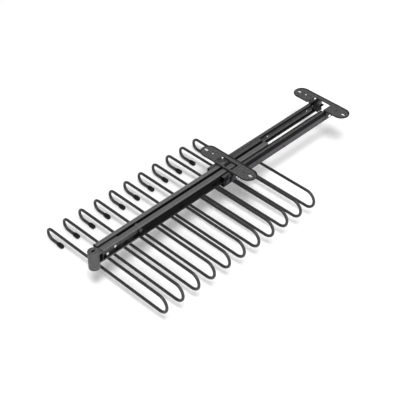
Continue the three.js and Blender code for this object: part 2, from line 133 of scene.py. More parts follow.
def coated(name, low, high, rough, grain, depth, metallic=0.0, specular=0.5,
           steps=(0.32, 0.68)):
    """A skin with a mottled colour, uneven gloss and a fine grain in its surface."""
    mat, tree, shader = material(name)
    place = tree.nodes.new("ShaderNodeTexCoord")
    coarse = tree.nodes.new("ShaderNodeTexNoise")
    coarse.inputs["Scale"].default_value = grain
    coarse.inputs["Detail"].default_value = COARSE_DETAIL
    coarse.inputs["Roughness"].default_value = COARSE_ROUGHNESS
    ramp = tree.nodes.new("ShaderNodeValToRGB")
    for element, step, colour in zip(ramp.color_ramp.elements, steps, (low, high)):
        element.position = step
        element.color = (*colour, 1.0)
    gloss = tree.nodes.new("ShaderNodeMapRange")
    gloss.inputs["To Min"].default_value = rough - GLOSS_SPREAD
    gloss.inputs["To Max"].default_value = rough + GLOSS_SPREAD
    fine = tree.nodes.new("ShaderNodeTexNoise")
    fine.inputs["Scale"].default_value = grain * FINE_RATIO
    fine.inputs["Detail"].default_value = FINE_DETAIL
    bump = tree.nodes.new("ShaderNodeBump")
    bump.inputs["Strength"].default_value = depth
    bump.inputs["Distance"].default_value = FINE_HEIGHT * MM
    link = tree.links.new
    link(place.outputs["Object"], coarse.inputs["Vector"])
    link(place.outputs["Object"], fine.inputs["Vector"])
    link(coarse.outputs["Fac"], ramp.inputs["Fac"])
    link(coarse.outputs["Fac"], gloss.inputs["Value"])
    link(ramp.outputs["Color"], shader.inputs["Base Color"])
    link(gloss.outputs["Result"], shader.inputs["Roughness"])
    link(fine.outputs["Fac"], bump.inputs["Height"])
    link(bump.outputs["Normal"], shader.inputs["Normal"])
    shader.inputs["Metallic"].default_value = metallic
    shader.inputs["Specular IOR Level"].default_value = specular
    return mat


WIRE = coated("wire_coat", (0.017, 0.017, 0.018), (0.031, 0.030, 0.031), 0.42, 260.0, 0.25,
              specular=0.4)
PLATE = coated("plate_coat", (0.010, 0.010, 0.010), (0.112, 0.111, 0.114), 0.6, 280.0, 0.5,
               specular=0.2)
# painted shade on the plates' edges, rim, dimple and the bar across the front window
PLATE_SHADE = coated("plate_painted_shade", (0.006, 0.006, 0.006), (0.016, 0.016, 0.017), 0.6, 900.0, 0.5,
             specular=0.15)
FIXED = coated("fixed_rail_coat", (0.032, 0.032, 0.032), (0.074, 0.074, 0.075), 0.5, 240.0,
               0.3, specular=0.2)
# painted reflection of the floor on the fixed rails' lower outer web, and a mid tone of painted
# light on their inner web
WEB_LIGHT = coated("rail_web_painted_light", (0.036, 0.033, 0.038), (0.066, 0.060, 0.069), 0.5, 240.0,
              0.3, specular=0.2)
# painted light on the fixed rails' lower inner web and on their bottom flange's top, where light
# falls
RAIL_LIGHT = coated("rail_painted_light", (0.100, 0.099, 0.101), (0.175, 0.174, 0.177), 0.5, 240.0, 0.3,
              specular=0.2)
SLIDE = coated("slide_coat", (0.074, 0.074, 0.073), (0.114, 0.114, 0.113), 0.5, 240.0, 0.3,
               specular=0.25)
# painted light on the moving rails' lower lip and high on the right one's hollow web
SLIDE_LIGHT = coated("slide_painted_light", (0.040, 0.040, 0.041), (0.075, 0.075, 0.077), 0.55, 240.0, 0.3,
             specular=0.2)
# painted light, half shaded, on the middle members' lower flange
FLANGE_LIGHT = coated("member_flange_painted_light", (0.014, 0.014, 0.014), (0.026, 0.026, 0.027), 0.55, 240.0, 0.3,
               specular=0.2)
# near-black painted shade, for hollows and for faces turned from the light
PAINTED_SHADE = coated("slide_painted_shade", (0.003, 0.003, 0.003), (0.006, 0.006, 0.006), 0.65, 240.0, 0.3,
              specular=0.06)
ZINC = coated("zinc_plate", (0.60, 0.61, 0.62), (0.76, 0.77, 0.78), 0.35, 500.0, 0.3,
              metallic=0.35)
STOP = coated("stop_plastic", (0.010, 0.010, 0.010), (0.024, 0.024, 0.024), 0.6, 300.0, 0.4,
              specular=0.2)
# mottled painted shade low on the right moving rail's hollow web
MOTTLED_SHADE = coated("hollow_painted_shade", (0.003, 0.003, 0.003), (0.028, 0.026, 0.030), 0.5, 75.0, 0.3,
                specular=0.06, steps=(0.40, 0.68))
# mottled black and purple-grey on the outer face of the fixed rails' front ends
MOTTLED_END = coated("mottled_end", (0.001, 0.001, 0.001), (0.085, 0.078, 0.092), 0.5, 75.0, 0.3,
                  specular=0.06, steps=(0.49, 0.64))
RIVET = coated("rivet_zinc", (0.80, 0.81, 0.82), (0.92, 0.93, 0.94), 0.38, 500.0, 0.2,
               metallic=1.0)
STEEL = coated("ball_steel", (0.50, 0.51, 0.52), (0.60, 0.61, 0.62), 0.2, 300.0, 0.1,
               metallic=1.0)
RUBBER = coated("rubber", (0.005, 0.005, 0.005), (0.010, 0.010, 0.010), 0.7, 600.0, 0.6,
                specular=0.15)
GRIP = coated("grip_plastic", (0.038, 0.037, 0.038), (0.098, 0.095, 0.098), 0.5, 420.0, 0.6,
              specular=0.3)
# painted shade inside the handle's slot and pocket
RECESS_SHADE = coated("grip_slot", (0.004, 0.004, 0.004), (0.008, 0.008, 0.008), 0.6, 700.0, 0.3,
                   specular=0.1)
CAGE = coated("cage_plastic", (0.03, 0.03, 0.03), (0.05, 0.05, 0.05), 0.5, 600.0, 0.4)


# mesh helpers

MERGE_DISTANCE = 0.002
SPLIT_DISTANCE = 0.0001
ROD_SIDES = 24
ROUND_STEPS = 18
EDGE_SHARE = 0.3
LONGEST_REACH = 0.49
LEAST_COSINE = 0.5


def piece(name, verts, faces, mat, body, slot, stands_for=(), smooth=35.0):
    """A mesh in millimetres as a piece of the object, riding on a body."""
    mesh = bpy.data.meshes.new(name)
    mesh.from_pydata([Vector(v) * MM for v in verts], [], faces)
    return finish_piece(name, mesh, mat, body, stands_for, smooth)


def finish_piece(name, mesh, mat, body, stands_for=(), smooth=35.0):
    """Turns faces outward, shades them by angle, links the piece into the scene on its body and
    hides the CAD nodes it stands for.
    """
    work = bmesh.new()
    work.from_mesh(mesh)
    bmesh.ops.remove_doubles(work, verts=work.verts, dist=MERGE_DISTANCE * MM)
    bmesh.ops.recalc_face_normals(work, faces=work.faces)
    limit = math.radians(smooth)
    for face in work.faces:
        face.smooth = True
    for edge in work.edges:
        edge.smooth = len(edge.link_faces) == 2 and edge.calc_face_angle(0.0) < limit
    work.to_mesh(mesh)
    work.free()
    mesh.materials.clear()
    mesh.materials.append(mat)
    obj = bpy.data.objects.new(name, mesh)
    bpy.context.collection.objects.link(obj)
    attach(obj, body)
    if stands_for:
        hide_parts(*stands_for)
    return obj


def paint(obj, choose):
    """Gives each face the material that choose(centre in millimetres, normal) returns."""
    coats = obj.data.materials
    for face in obj.data.polygons:
        mat = choose(face.center / MM, face.normal)
        if mat.name not in coats:
            coats.append(mat)
        face.material_index = coats.find(mat.name)


def fillet(points, radius, steps, closed=False):
    """A 2-D line with its corners rounded."""
    out = []
    count = len(points)
    for i, p in enumerate(points):
        if not closed and i in (0, count - 1):
            out.append(Vector(p))
            continue
        p = Vector(p)
        a = Vector(points[i - 1]) - p
        b = Vector(points[(i + 1) % count]) - p
        angle = a.angle(b)
        reach = min(radius / math.tan(angle / 2), a.length * LONGEST_REACH,
                    b.length * LONGEST_REACH)
        r = reach * math.tan(angle / 2)
        a.normalize()
        b.normalize()
        centre = p + (a + b).normalized() * (r / math.sin(angle / 2))
        start = p + a * reach - centre
        end = p + b * reach - centre
        turn = start.angle_signed(end)
        for k in range(steps + 1):
            t = -turn * k / steps
            c, s = math.cos(t), math.sin(t)
            out.append(centre + Vector((start.x * c - start.y * s, start.x * s + start.y * c)))
    return out


def strip(line, thickness):
    """The outline of a bent sheet from its middle line."""
    left, right = [], []
    for i, p in enumerate(line):
        before = (p - line[i - 1]).normalized() if i else None
        after = (line[i + 1] - p).normalized() if i + 1 < len(line) else None
        d = before or after
        lean = 1.0
        if before and after:
            d = (before + after).normalized()
            lean = 1.0 / max(LEAST_COSINE, math.cos(before.angle(after) / 2))
        n = Vector((-d.y, d.x)) * (thickness / 2 * lean)
        left.append(p + n)
        right.append(p - n)
    return left + right[::-1]


def loft(rings, rising=False):
    """Vertices and faces of a closed solid through rings of equally many points.

    Rising rings turn counterclockwise seen from beyond the last one.
    """
    count = len(rings[0])
    verts = [point for ring in rings for point in ring]
    faces = []
    for start in range(0, len(verts) - count, count):
        for k in range(count):
            a, b = start + k, start + (k + 1) % count
            faces.append([a, b, b + count, a + count])
    first, last = list(range(count)), list(range(len(verts) - count, len(verts)))
    faces += [first[::-1], last] if rising else [first, last[::-1]]
    return verts, faces


def run(outline, y0, y1):
    """Vertices and faces of an X-Z outline run along Y."""
    return loft([[(p.x, y, p.y) for p in outline] for y in (y0, y1)])


def turned(profile, sides, origin, axis):
    """A closed lathe solid: profile of (radius, height) pairs that starts and ends on the axis."""
    axis = Vector(axis).normalized()
    across = axis.orthogonal().normalized()
    other = axis.cross(across)
    origin = Vector(origin)
    verts = [origin + axis * profile[0][1], origin + axis * profile[-1][1]]
    rings = profile[1:-1]
    for radius, height in rings:
        for k in range(sides):
            a = 2 * math.pi * k / sides
            spoke = across * math.cos(a) + other * math.sin(a)
            verts.append(origin + axis * height + spoke * radius)
    faces = []
    for k in range(sides):
        n = (k + 1) % sides
        faces.append([0, 2 + n, 2 + k])
        for r in range(len(rings) - 1):
            a = 2 + r * sides
            faces.append([a + k, a + n, a + sides + n, a + sides + k])
        e = 2 + (len(rings) - 1) * sides
        faces.append([1, e + k, e + n])
    return verts, faces


def rounded_profile(points, radius, steps):
    """A lathe profile with its inner corners rounded."""
    return [(max(p.x, 0.0), p.y) for p in fillet(points, radius, steps)]


def pin_profile(tail, head, length):
    """A rivet's or screw's profile: the tail from its start, the head back from its end."""
    points = list(tail) + [(radius, length - depth) for radius, depth in head]
    return rounded_profile(points, PIN_ROUNDING, 3)


def bevel_all(work, offset, segments):
    """Bevels all edges of a bmesh."""
    bmesh.ops.bevel(work, geom=work.edges[:], offset=offset * MM, segments=segments,
                    profile=0.5, affect="EDGES")


def brick(low, high, bevel=0.0, segments=2):
    """A box mesh in metres with bevelled edges, made from its corners in millimetres."""
    work = bmesh.new()
    bmesh.ops.create_cube(work, size=1.0)
    low, high = Vector(low), Vector(high)
    for v in work.verts:
        v.co = Vector([low[i] if v.co[i] < 0 else high[i] for i in range(3)]) * MM
    if bevel:
        bevel_all(work, bevel, segments)
    mesh = bpy.data.meshes.new("brick")
    work.to_mesh(mesh)
    work.free()
    return mesh


def raw(verts, faces):
    """A mesh in metres from vertices in millimetres."""
    mesh = bpy.data.meshes.new("raw")
    mesh.from_pydata([Vector(v) * MM for v in verts], [], faces)
    work = bmesh.new()
    work.from_mesh(mesh)
    bmesh.ops.recalc_face_normals(work, faces=work.faces)
    work.to_mesh(mesh)
    work.free()
    return mesh


def combine(base, others):
    """base joined with or cut by other meshes: a list of (operation, mesh)."""
    obj = bpy.data.objects.new("base", base)
    bpy.context.collection.objects.link(obj)
    helpers = []
    for operation, mesh in others:
        helper = bpy.data.objects.new("helper", mesh)
        bpy.context.collection.objects.link(helper)
        helpers.append(helper)
        step = obj.modifiers.new("step", "BOOLEAN")
        step.operation = operation
        step.solver = "EXACT"
        step.object = helper
    bpy.context.view_layer.update()
    graph = bpy.context.evaluated_depsgraph_get()
    mesh = bpy.data.meshes.new_from_object(obj.evaluated_get(graph))
    for helper in helpers:
        bpy.data.objects.remove(helper)
    bpy.data.objects.remove(obj)
    return mesh


def cut_from(base, cutters):
    """base without what the cutters hold."""
    return combine(base, [("DIFFERENCE", cutter) for cutter in cutters])


def split(mesh, *planes):
    """A mesh with its faces divided across planes of (axis, place along it)."""
    work = bmesh.new()
    work.from_mesh(mesh)
    for axis, place in planes:
        bmesh.ops.bisect_plane(work, geom=work.verts[:] + work.edges[:] + work.faces[:],
                               dist=SPLIT_DISTANCE * MM, plane_co=axis * place * MM,
                               plane_no=axis)
    work.to_mesh(mesh)
    work.free()
    return mesh


def rod(radius, origin, axis, length):
    """A plain cylinder mesh from origin along axis."""
    profile = [(0, 0), (radius, 0), (radius, length), (0, length)]
    return raw(*turned(profile, ROD_SIDES, origin, axis))


def stadium(length, width, z0, z1, place, turned_along_y=False, edge=0.0, rims=()):
    """An upright prism with round ends and softened edges, as a mesh in metres.

    Each rim adds a ring of faces round the top face, that far in from its outline.
    """
    r = width / 2
    half = length / 2 - r
    outline = []
    for centre, start in ((half, -90), (-half, 90)):
        for k in range(ROUND_STEPS + 1):
            a = math.radians(start + 180 * k / ROUND_STEPS)
            outline.append(Vector((centre + r * math.cos(a), r * math.sin(a))))
    levels = [(0.0, z0), (0.0, z1)]
    if edge:
        soft = edge * EDGE_SHARE
        levels = [(edge, z0), (soft, z0 + soft), (0.0, z0 + edge),
                  (0.0, z1 - edge), (soft, z1 - soft), (edge, z1)]
    levels += [(rim, z1) for rim in rims]
    rings = []
    for inset, z in levels:
        ring = []
        for p in outline:
            along = Vector((max(-half, min(half, p.x)), 0.0))
            q = along + (p - along) * ((r - inset) / r)
            x, y = (-q.y, q.x) if turned_along_y else (q.x, q.y)
            ring.append((place[0] + x, place[1] + y, z))
        rings.append(ring)
    return raw(*loft(rings, rising=True))


def prism(points, z0, z1, bevel):
    """An upright prism over a polygon, with bevelled edges, as a mesh in metres."""
    mesh = raw(*loft([[(x, y, z) for x, y in points] for z in (z0, z1)], rising=True))
    work = bmesh.new()
    work.from_mesh(mesh)
    bevel_all(work, bevel, 3)
    work.to_mesh(mesh)
    work.free()
    return mesh


# wire arms

LOOP_STEPS = 28
HOOK_STEPS = 22
WIRE_SIDES = 20
WIRE_EDGE = 0.5
LOOP_RADIUS = 20.2
HOOK_RADIUS = 13.2
# how far the wire starts outside the left rail, and ends before the end of its tip
WIRE_START = 2.0
WIRE_END = 1.5

TIP_SIDES = 28
TIP_NOSE = 1.8
TIP_SHOULDER = 4.4
TIP_MOUTH = 1.2
TIP_WALL = 0.6
TIP_NOSE_SHARE = 0.8
TIP_MOUTH_SHARE = 0.86
TIP_ROUNDING = 0.6
TIP_END_WALL = 1.45
TIP_BORE_GAP = 0.15

WELD_X = {"left": (-11.4, -5.6), "right": (5.6, 11.4)}
WELD_STEPS = 10
WELD_SIDES = 10
WELD_HALF = 2.3
WELD_RISE = 0.7
WELD_SINK = 0.55
# the size of a bead's ends as a share of its middle, and the ripples along it
WELD_ENDS = 0.62
WELD_RIPPLE = 0.06
WELD_RIPPLES = 9


def arm_path(box):
    """The middle line of an arm in X and Z, with its directions, read from its box."""
    low, high = box
    r = (high.y - low.y) / 2
    y = (high.y + low.y) / 2
    loop_x = high.x - r - LOOP_RADIUS
    hook_x = low.x + r + HOOK_RADIUS
    upper_z = high.z - r
    lower_z = upper_z - 2 * LOOP_RADIUS
    return_z = lower_z - 2 * HOOK_RADIUS
    path = []
    for k in range(LOOP_STEPS + 1):
        a = math.pi / 2 - math.pi * k / LOOP_STEPS
        path.append(((loop_x + LOOP_RADIUS * math.cos(a),
                      upper_z - LOOP_RADIUS + LOOP_RADIUS * math.sin(a)),
                     (math.sin(a), -math.cos(a))))
    for k in range(HOOK_STEPS + 1):
        a = math.pi / 2 + math.pi * k / HOOK_STEPS
        path.append(((hook_x + HOOK_RADIUS * math.cos(a),
                      lower_z - HOOK_RADIUS + HOOK_RADIUS * math.sin(a)),
                     (-math.sin(a), math.cos(a))))
    return path, r, y, upper_z, return_z


def sweep(path, y):
    """A round tube along stations of ((x, z), (dx, dz), radius)."""
    rings = []
    for (x, z), (dx, dz), radius in path:
        ring = []
        for k in range(WIRE_SIDES):
            a = 2 * math.pi * k / WIRE_SIDES
            n = radius * math.cos(a)
            ring.append((x - dz * n, y + radius * math.sin(a), z + dx * n))
        rings.append(ring)
    return loft(rings)


def make_tip(word, wire_radius, y):
    """A moulded rubber cap on the end of a wire, narrower at its mouth."""
    node = "arm_tip_" + word
    low, high = mm_box(node)
    z = (low.z + high.z) / 2
    outer = (high.z - low.z) / 2
    length = high.x - low.x
    bore = wire_radius + TIP_BORE_GAP
    profile = rounded_profile([
        (0, length), (outer * TIP_NOSE_SHARE, length), (outer, length - TIP_NOSE),
        (outer, TIP_SHOULDER), (outer * TIP_MOUTH_SHARE, TIP_MOUTH), (bore + TIP_WALL, 0.0),
        (bore, 0.0), (bore, length - TIP_END_WALL), (0, length - TIP_END_WALL)],
        TIP_ROUNDING, 3)
    piece("tip_" + word, *turned(profile, TIP_SIDES, (low.x, y, z), X), RUBBER, CARRIAGE,
          "tip_rubber", stands_for=(node,), smooth=40)


def make_weld(word, side, y, wire_top):
    """A weld bead between a wire and the rail above it."""
    x0, x1 = WELD_X[side]
    z = wire_top - WELD_SINK
    rings = []
    for i in range(WELD_STEPS + 1):
        t = i / WELD_STEPS
        x = x0 + (x1 - x0) * t
        swell = WELD_ENDS + (1 - WELD_ENDS) * math.sin(math.pi * t) \
            + WELD_RIPPLE * math.sin(WELD_RIPPLES * math.pi * t)
        ring = []
        for k in range(WELD_SIDES):
            a = 2 * math.pi * k / WELD_SIDES
            ring.append((x, y + WELD_HALF * swell * math.cos(a),
                         z + WELD_RISE * swell * math.sin(a)))
        rings.append(ring)
    piece("weld_%s_%s" % (word, side), *loft(rings), WIRE, CARRIAGE, "black_wire", smooth=60)


def make_arm(word):
    """One wire arm with its tip and its two weld beads."""
    node = "arm_" + word
    bends, r, y, upper_z, return_z = arm_path(mm_box(node))
    start_x = mm_box("moving_rail_left")[0].x - WIRE_START
    end_x = mm_box("arm_tip_" + word)[1].x - WIRE_END
    path = [((start_x, upper_z), (1, 0), r - WIRE_EDGE),
            ((start_x + WIRE_EDGE, upper_z), (1, 0), r)]
    path += [(p, d, r) for p, d in bends]
    path += [((end_x - WIRE_EDGE, return_z), (1, 0), r),
             ((end_x, return_z), (1, 0), r - WIRE_EDGE)]
    piece("wire_arm_" + word, *sweep(path, y), WIRE, CARRIAGE, "black_wire",
          stands_for=(node,), smooth=50)
    make_tip(word, r, y)
    for side, _ in SIDES:
        make_weld(word, side, y, upper_z + r)


for arm_word in sorted(n[4:] for n in nodes if n.startswith("arm_") and "tip" not in n):
    make_arm(arm_word)


# rails

RAIL_LIP = 3.4
LEFT_SEAM_STEP = 3.9
FIXED_HOLES = (149.0, 281.0)
FIXED_HOLE_Z = -24.5
FIXED_HOLE_RADIUS = 2.2
HOLE_START = 2.0
HOLE_LENGTH = 5.0
# cuts at the rear ends of the fixed rails: where they stop in X, their length and their height
CUT_FROM_X = 12.0
CUT_PAST = 1.0
FLANGE_CUT_X, FLANGE_CUT_LENGTH = 21.3, 50.0
END_CUT_X, END_CUT_LENGTH, END_CUT_Z = 26.0, 12.0, -16.5
LOW_CUT_X, LOW_CUT_LENGTH = 16.0, 21.7
# where the colour of the coat changes, mostly between painted light and painted shade
BAND_Z = -16.0
INNER_BAND_Z = -18.8
HOLLOW_BAND_Z = -22.0
LIT_WEB_Z = -23.5
LIT_FLANGE_X = 21.4
SEAM_SHADE_X = 17.0
FRONT_BAND_Y = -14.0
LEFT_SHADE_Y = 0.0
HOLLOW_MARGIN = SHEET * 0.6
NEAR_WEB = 2.0
NEAR_LIP = 0.3


def channel_outline(web, top, bottom, lip):
    """The outline of a bent channel from its web to two mouths of (X, Z, has a lip)."""
    t = SHEET / 2
    turn = 1 if top[0] > web else -1
    x = web + turn * t
    ends = []
    for mouth, z, lipped in (top, bottom):
        drop = 1 if z == bottom[1] else -1
        edge = mouth - turn * t if lipped else mouth
        ends.append(([(mouth - turn * t, z + drop * lip)] if lipped else [],
                     (edge, z + drop * t), (x, z + drop * t)))
    line = ends[0][0] + [ends[0][1], ends[0][2], ends[1][2], ends[1][1]] + ends[1][0]
    return strip(fillet([Vector(p) for p in line], BEND, BEND_STEPS), SHEET)


def rail_cuts(moving, side, low, high, web, inward):
    """What is cut from a rail: holes in its web, and a fixed rail's stepped rear end."""
    def hole(radius, y, z):
        return rod(radius, (web - HOLE_START * inward, y, z), (inward, 0, 0), HOLE_LENGTH)

    if moving:
        return [hole(SCREW_HOLE_RADIUS, y, z) for y, z in HANDLE_SCREWS] if side > 0 else []
    cuts = [hole(FIXED_HOLE_RADIUS, y, FIXED_HOLE_Z) for y in FIXED_HOLES]
    cuts += [hole(RIVET_HOLE_RADIUS, y, RIVET_Z) for _, y in PLATE_PLACES]
    top = high.z + CUT_PAST
    for to_x, length, z0, z1, bevel in (
            (FLANGE_CUT_X, FLANGE_CUT_LENGTH, high.z - RAIL_LIP - SHEET, top, 0.8),
            (END_CUT_X, END_CUT_LENGTH, END_CUT_Z, top, 0.0),
            (LOW_CUT_X, LOW_CUT_LENGTH, low.z - CUT_PAST, END_CUT_Z, 0.0)):
        x0, x1 = sorted((side * CUT_FROM_X, side * to_x))
        cuts.append(brick((x0, high.y - length, z0), (x1, high.y + CUT_PAST, z1),
                          bevel=bevel, segments=3))
    return cuts


def fixed_rail_coat(side, web, inward, hollow, c, n):
    """The coat of a face of a fixed rail: painted shade in the hollow and high on the outer web,
    painted light low in the hollow, a painted reflection of the floor low on the outer web, and a
    painted shadow of the seam along the right rail's top.
    """
    facing_in = n.x * inward
    # inner web low in the hollow: painted light lowest, a mid tone of painted light above it
    if hollow and facing_in > FACING and c.z < INNER_BAND_Z and abs(c.x - web) < NEAR_WEB:
        return RAIL_LIGHT if c.z < LIT_WEB_Z else WEB_LIGHT
    # painted light on the bottom flange's top near the web
    if hollow and n.z > FACING and abs(c.x) > LIT_FLANGE_X:
        return RAIL_LIGHT
    # painted shade in the hollow and on low faces turned inward
    if hollow or (facing_in > FACING and c.z < BAND_Z):
        return PAINTED_SHADE
    # outer web: mottled at the front end, a painted reflection of the floor low and painted shade
    # high
    if facing_in < -FACING:
        if c.y < FRONT_BAND_Y:
            return MOTTLED_END
        return WEB_LIGHT if c.z < BAND_Z else PAINTED_SHADE
    # painted shadow of the seam along the right rail's top, near its inner edge
    if side > 0 and n.z > FACING and abs(c.x) < SEAM_SHADE_X:
        return PAINTED_SHADE
    return FIXED


def moving_rail_coat(side, web, inward, low_mouth, hollow, c, n):
    """The coat of a face of a moving rail: painted shade in the hollow and on the web's back,
    painted light on the lower lip and high on the right rail's hollow web, painted shade on the
    rear of the left rail's top, grey outside.
    """
    # painted light on the lower lip
    if n.x * inward > FACING and abs(c.x - low_mouth) < NEAR_LIP:
        return SLIDE_LIGHT
    # right rail's hollow web: painted light high, mottled painted shade low
    if side > 0 and hollow and n.x > FACING and abs(c.x - web) < NEAR_WEB:
        return SLIDE_LIGHT if c.z > HOLLOW_BAND_Z else MOTTLED_SHADE
    # painted shade in the hollow and on the web's back
    if hollow or n.x * inward < -FACING:
        return PAINTED_SHADE
    # painted shade: the left rail's top darker towards the rear, in the fixed rails' coat
    if side < 0 and n.z > FACING and c.y > LEFT_SHADE_Y:
        return FIXED
    return SLIDE


def make_rail(kind, word, side):
    """A fixed or moving rail, split where its coat and its painted light and shade change."""
    node = "%s_rail_%s" % (kind, word)
    low, high = mm_box(node)
    moving = kind == "moving"
    if (side > 0) == moving:
        web, mouth, inward = low.x, high.x, 1
    else:
        web, mouth, inward = high.x, low.x, -1
    top_mouth = low_mouth = mouth
    if side < 0 and moving:
        low_mouth += LEFT_SEAM_STEP
    elif side < 0:
        top_mouth -= LEFT_SEAM_STEP
    outline = channel_outline(web, (top_mouth, high.z, moving or side > 0),
                              (low_mouth, low.z, not moving or side > 0), RAIL_LIP)
    mesh = raw(*run(outline, low.y, high.y))
    cuts = rail_cuts(moving, side, low, high, web, inward)
    if cuts:
        mesh = cut_from(mesh, cuts)
    if moving:
        mesh = split(mesh, (Z, HOLLOW_BAND_Z) if side > 0 else (Y, LEFT_SHADE_Y))
        obj = finish_piece("rail_moving_" + word, mesh, SLIDE, CARRIAGE,
                           stands_for=(node,), smooth=30)
    else:
        mesh = split(mesh, (Z, BAND_Z), (Z, INNER_BAND_Z), (Z, LIT_WEB_Z),
                     (X, side * LIT_FLANGE_X), (X, side * SEAM_SHADE_X), (Y, FRONT_BAND_Y))
        obj = finish_piece("rail_fixed_" + word, mesh, FIXED, FRAME_BODY,
                           stands_for=(node,), smooth=30)

    def coat(c, n):
        hollow = low.x + HOLLOW_MARGIN < c.x < high.x - HOLLOW_MARGIN and \
            low.z + HOLLOW_MARGIN < c.z < high.z - HOLLOW_MARGIN
        if moving:
            return moving_rail_coat(side, web, inward, low_mouth, hollow, c, n)
        return fixed_rail_coat(side, web, inward, hollow, c, n)

    paint(obj, coat)


for kind_word in ("moving", "fixed"):
    for side_word, side_sign in SIDES:
        make_rail(kind_word, side_word, side_sign)


# cap on the left moving rail, and the spine with what joins it to the right one

CAP_SHEET = 1.4
CAP_GAP = 0.05
CAP_TOP = 1.0
CAP_NOSE_RADIUS = 2.6
CAP_NOSE_OUT = 0.3
CAP_NOSE_DEPTH = (4.6, 0.1)
CAP_CUT = 9.0
BEAD_LAP = 0.5
BEAD_DEPTH = (1.2, 0.1)
CLIP_X = (-2.4, 1.0)
CLIP_Y = (-261.5, -257.0)
CLIP_DEPTH = (1.4, 0.05)
SPINE_HOLE_START = 2.0
SPINE_HOLE_LENGTH = 9.0


def make_cap():
    """A plastic cap in front of the left moving rail, with a rounded nose at its top."""
    low, high = mm_box("moving_rail_left")
    rear = low.y - CAP_GAP
    nose = stadium(high.x - low.x + 2 * CAP_NOSE_OUT, 2 * CAP_NOSE_RADIUS,
                   high.z - CAP_NOSE_DEPTH[0], high.z - CAP_NOSE_DEPTH[1],
                   ((low.x + high.x) / 2 - CAP_NOSE_OUT, rear), edge=0.5)
    body = brick((low.x + LEFT_SEAM_STEP, rear - CAP_SHEET, low.z + SHEET),
                 (high.x, rear, high.z - CAP_TOP), bevel=0.4, segments=2)
    behind = brick((low.x - CAP_CUT, rear, low.z), (high.x + CAP_CUT, rear + CAP_CUT, 0))
    mesh = combine(body, [("UNION", nose), ("DIFFERENCE", behind)])
    finish_piece("cap_left", mesh, RUBBER, CARRIAGE, smooth=40)


def make_spine():
    """The bar beside the right moving rail, its weld and the clip over the rails' seam."""
    low, high = mm_box("carrier_spine")
    rail_x = mm_box("moving_rail_right")[0].x
    bead = brick((high.x - BEAD_LAP, low.y + BEAD_LAP, high.z - BEAD_DEPTH[0]),
                 (rail_x + BEAD_LAP, high.y - BEAD_LAP, high.z - BEAD_DEPTH[1]),
                 bevel=0.05, segments=1)
    finish_piece("weld_bead", bead, SLIDE, CARRIAGE, smooth=30)
    clip = brick((low.x + CLIP_X[0], CLIP_Y[0], high.z - CLIP_DEPTH[0]),
                 (low.x + CLIP_X[1], CLIP_Y[1], high.z - CLIP_DEPTH[1]), bevel=0.3, segments=2)
    finish_piece("seam_clip", clip, SLIDE, CARRIAGE, smooth=30)
    holes = [rod(SCREW_HOLE_RADIUS, (low.x - SPINE_HOLE_START, y, z), X, SPINE_HOLE_LENGTH)
             for y, z in HANDLE_SCREWS]
    mesh = cut_from(brick(low, high, bevel=0.35, segments=2), holes)
    obj = finish_piece("spine_bar", mesh, SLIDE, CARRIAGE,
                       stands_for=("carrier_spine",), smooth=30)
    # painted shade on the bar's sides facing across the rails
    paint(obj, lambda c, n: PAINTED_SHADE if abs(n.x) > FACING else SLIDE)


make_cap()
make_spine()


# middle members: an upright web with punched windows and two flanges

MEMBER_WEB = 2.4
MEMBER_CORNER = 0.3
MEMBER_WINDOWS = (0.06, 0.30, 0.56, 0.82, 0.95)
MEMBER_WINDOW_HALF = (3.0, 5.0, 2.0)
MEMBER_TAB_LENGTH = 5.0
MEMBER_TAB_Z = 2.0
FLANGE_MARGIN = 0.2


def make_member(word):
    """A middle member in near-black painted shade, with painted light on its lower flange and the
    fixed rails' coat on the top of its front end.
    """
    node = "middle_member_" + word
    low, high = mm_box(node)
    cx, cz = (low.x + high.x) / 2, (low.z + high.z) / 2
    w = MEMBER_WEB / 2
    o = (high.x - low.x) / 2
    h = (high.z - low.z) / 2
    top = [(w, h - SHEET), (o, h - SHEET), (o, h), (-o, h), (-o, h - SHEET), (-w, h - SHEET)]
    line = top + [(-x, -z) for x, z in top]
    outline = fillet([Vector((cx + x, cz + z)) for x, z in line], MEMBER_CORNER, 3, closed=True)
    dx, dy, dz = MEMBER_WINDOW_HALF
    windows = []
    for share in MEMBER_WINDOWS:
        y = low.y + (high.y - low.y) * share
        windows.append(brick((cx - dx, y - dy, cz - dz), (cx + dx, y + dy, cz + dz),
                             bevel=1.2, segments=3))
    tab_y, tab_z = low.y + MEMBER_TAB_LENGTH, cz + MEMBER_TAB_Z
    mesh = split(cut_from(raw(*run(outline, low.y, high.y)), windows), (Y, tab_y), (Z, tab_z))
    obj = finish_piece("member_" + word, mesh, PAINTED_SHADE, "middle_" + word,
                       stands_for=(node,), smooth=30)

    def coat(c, n):
        # painted light on the lower flange, the fixed rails' coat on the front end's top, painted
        # shade elsewhere
        if c.z < low.z + SHEET + FLANGE_MARGIN and n.z > -FACING:
            return FLANGE_LIGHT
        return FIXED if c.y < tab_y and c.z > tab_z else PAINTED_SHADE

    paint(obj, coat)


for side_word, _ in SIDES:
    make_member(side_word)


# ball cages: punched strips with steel balls

# the side that the strip is on (1 is outside), the balls' radius and their number in a row
CAGES = {"outer": (1, 1.1, 5), "inner": (-1, 1.3, 7)}
CAGE_SHEET = 0.5
CAGE_BEND = 0.8
CAGE_WINDOW_HALF = (2.0, 4.0, 4.0)
BALL_IN = 1.3
BALL_STEPS = 10
BALL_SIDES = 16


